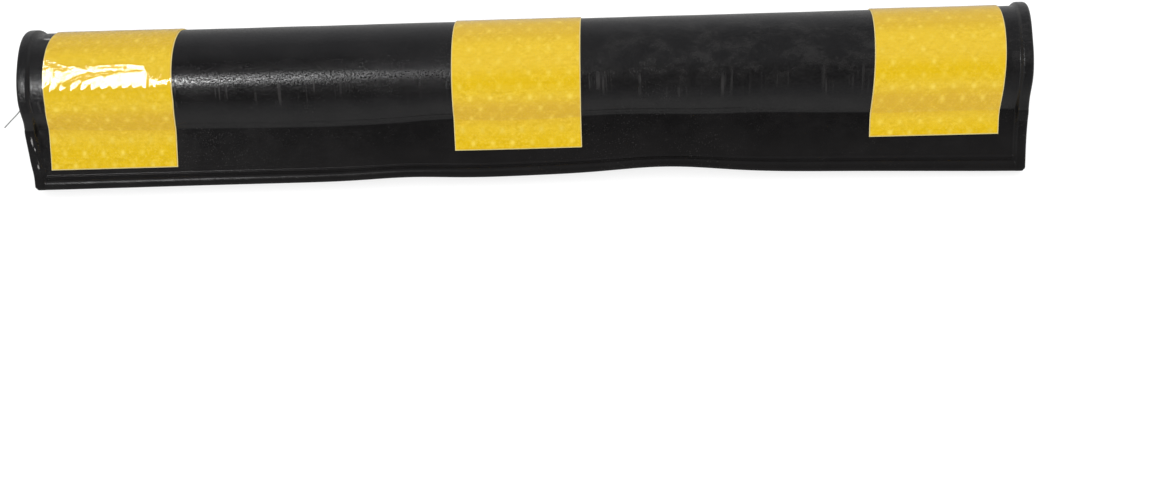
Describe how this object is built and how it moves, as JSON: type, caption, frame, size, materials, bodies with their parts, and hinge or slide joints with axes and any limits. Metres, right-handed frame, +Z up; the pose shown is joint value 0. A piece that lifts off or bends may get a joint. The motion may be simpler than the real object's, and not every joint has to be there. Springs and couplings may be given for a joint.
{
  "type": "rubber corner guard",
  "caption": "Long black rubber guard with a hollow round nose, flat flanges at a right angle, raised end rims and yellow reflective bands wrapped over the nose.",
  "frame": {"origin": "on the floor under the middle of the nose, when the guard stands on its flange edges", "axes": "+X along the guard's length, +Z up through the top of the nose, -Y towards the side seen in front"},
  "size_m": [0.8, 0.164, 0.086],
  "materials": {
    "black_rubber": "moulded black rubber, semi-gloss on the nose, duller on the flanges, dusty scuffs",
    "band_adhesive": "pressure-sensitive adhesive layer, translucent off-white",
    "yellow_prism_sheet": "yellow microprismatic reflective sheet with a regular lattice of bright cells",
    "clear_face_film": "clear glossy face film, creased on the left band"
  },
  "bodies": {
    "root": {"rubber_body": "black_rubber", "left_band_adhesive": "band_adhesive", "left_band_prism_sheet": "yellow_prism_sheet", "left_band_face_film": "clear_face_film", "middle_band_adhesive": "band_adhesive", "middle_band_prism_sheet": "yellow_prism_sheet", "middle_band_face_film": "clear_face_film", "right_band_adhesive": "band_adhesive", "right_band_prism_sheet": "yellow_prism_sheet", "right_band_face_film": "clear_face_film"}
  },
  "joints": []
}
